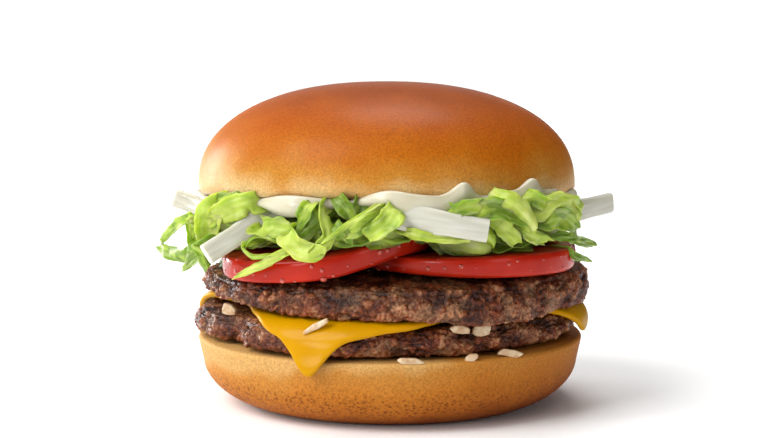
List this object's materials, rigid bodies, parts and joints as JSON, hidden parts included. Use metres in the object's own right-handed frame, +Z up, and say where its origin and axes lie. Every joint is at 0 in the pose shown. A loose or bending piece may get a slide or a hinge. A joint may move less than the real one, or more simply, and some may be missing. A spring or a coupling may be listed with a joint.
{
  "type": "double hamburger",
  "caption": "Double hamburger in a round glazed bun, with two beef patties, a draped slice of cheese, tomato, shredded lettuce, slivered onion and mayonnaise.",
  "frame": {"origin": "centre of the flat base of the lower bun", "axes": "+X to the right and -Y to the front as served, +Z up through the layers"},
  "size_m": [0.1222, 0.1086, 0.0852],
  "materials": {
    "bun": "baked bread crust, golden brown, satin",
    "beef": "seared ground beef, coarse and moist",
    "cheese": "melted processed cheese, smooth and glossy",
    "tomato": "wet tomato skin and flesh",
    "lettuce": "crisp leaf, pale rib to green edge",
    "onion": "raw white onion, moist and translucent",
    "mayonnaise": "thick cream sauce, glossy"
  },
  "bodies": {
    "root": {"heel": "bun", "patty_lower": "beef", "cheese_slice": "cheese", "patty_upper": "beef", "tomato_left": "tomato", "tomato_right": "tomato", "lettuce": "lettuce", "onion_left_rear": "onion", "onion_left_front": "onion", "onion_centre": "onion", "onion_right": "onion", "mayonnaise": "mayonnaise", "crown": "bun"}
  },
  "joints": []
}
